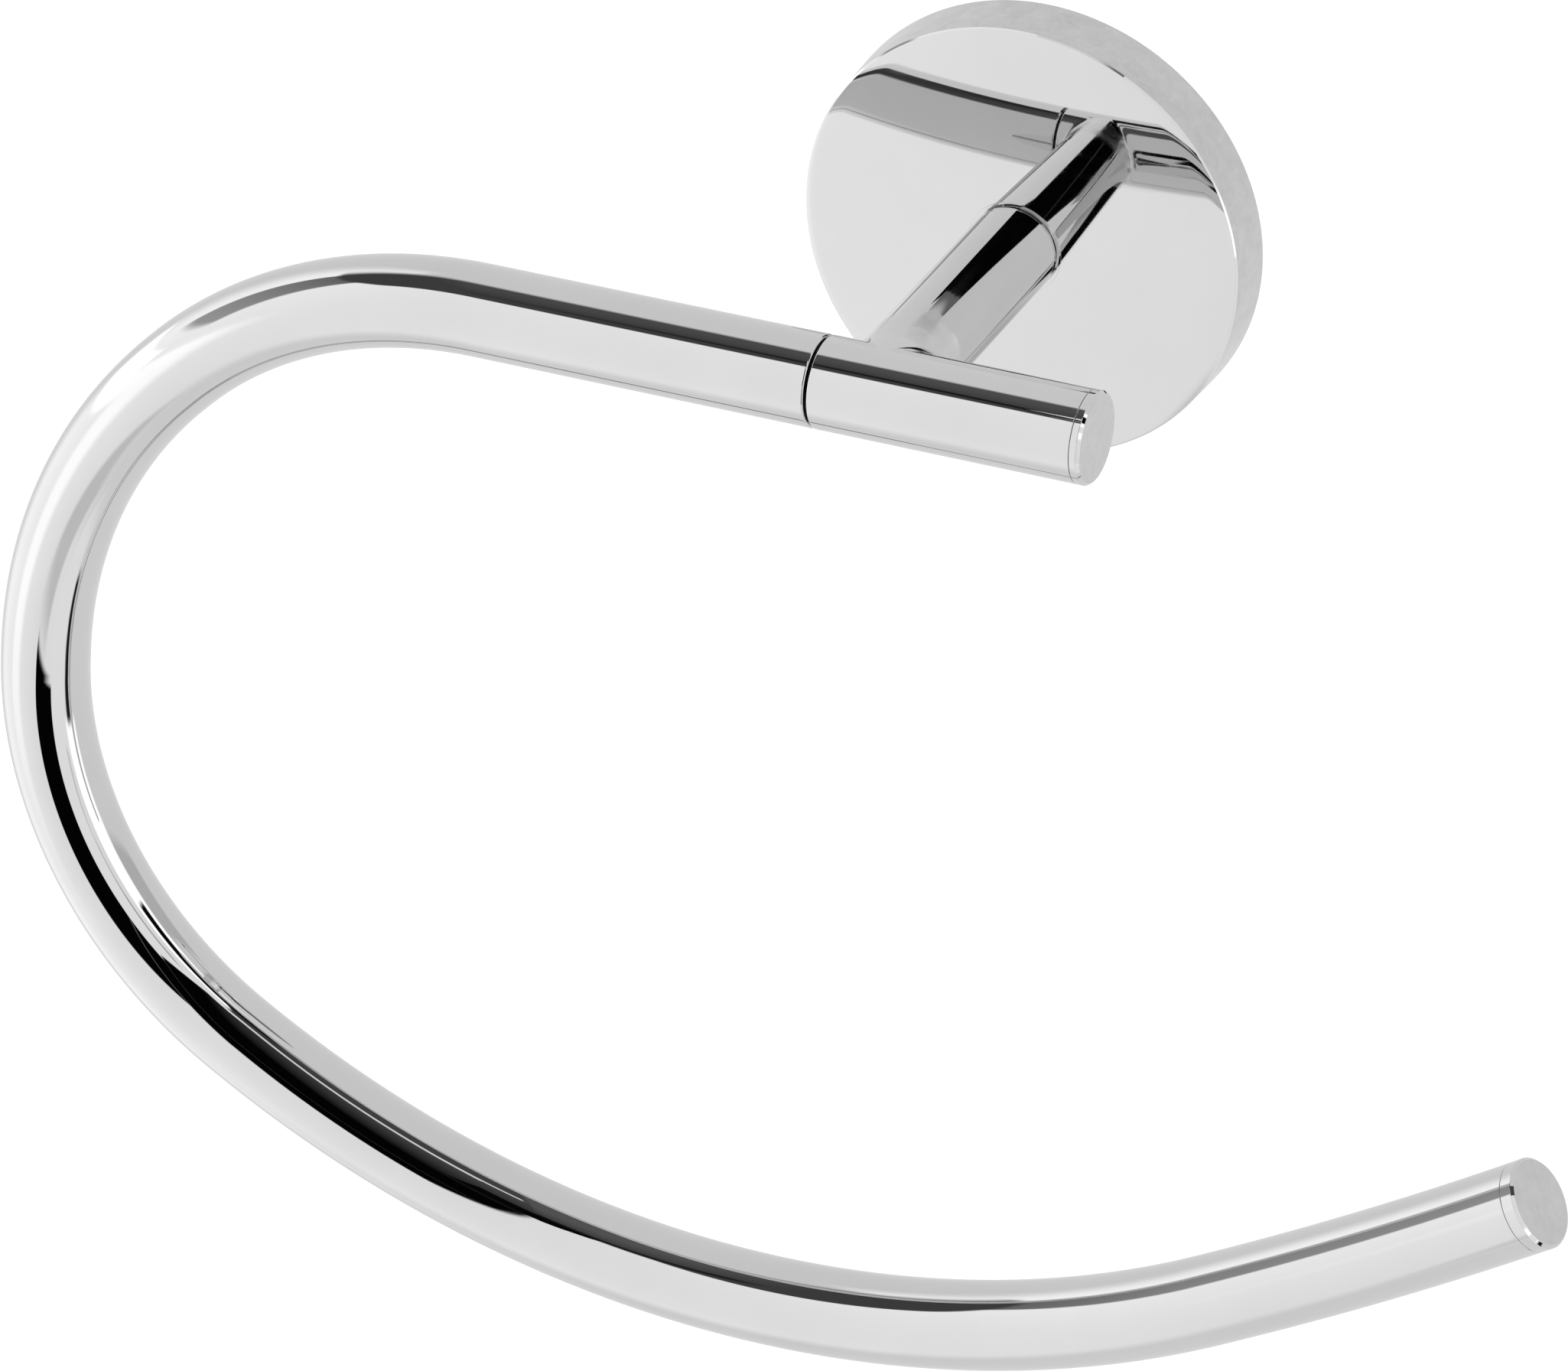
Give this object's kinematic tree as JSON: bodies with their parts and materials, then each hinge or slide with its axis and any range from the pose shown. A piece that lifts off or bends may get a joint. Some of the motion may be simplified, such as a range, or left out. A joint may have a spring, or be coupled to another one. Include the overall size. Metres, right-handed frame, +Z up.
{
  "type": "towel holder",
  "caption": "Open towel ring for a wall: a domed round flange, a short post with a cross bar, and a bent tube loop with a free tip.",
  "frame": {"origin": "middle of the two wall screw holes, on the wall plane, which is also the middle of the flange's back edge", "axes": "+Y into the wall, so the holder stands out along -Y; +X to the right along the cross bar; +Z up"},
  "size_m": [0.2223, 0.058, 0.178],
  "materials": {
    "bracket_zinc": "dull zinc plate",
    "flange_chrome": "polished chrome plate",
    "post_chrome": "polished chrome plate",
    "tube_chrome": "polished chrome plate",
    "cap_chrome": "polished chrome plate with a satin end face",
    "grub_steel": "dark oxide steel",
    "screw_steel": "zinc plated steel",
    "insert_brass": "turned brass"
  },
  "bodies": {
    "root": {"wall_bracket": "bracket_zinc", "flange_cover": "flange_chrome", "flange_grub_screw": "grub_steel", "post_and_bar": "post_chrome", "post_screw": "screw_steel", "post_washer": "screw_steel", "bar_end_cap": "cap_chrome", "arm_screw": "screw_steel", "arm_lock_washer": "screw_steel", "arm_insert": "insert_brass", "arm_tube": "tube_chrome", "tip_end_cap": "cap_chrome"}
  },
  "joints": []
}
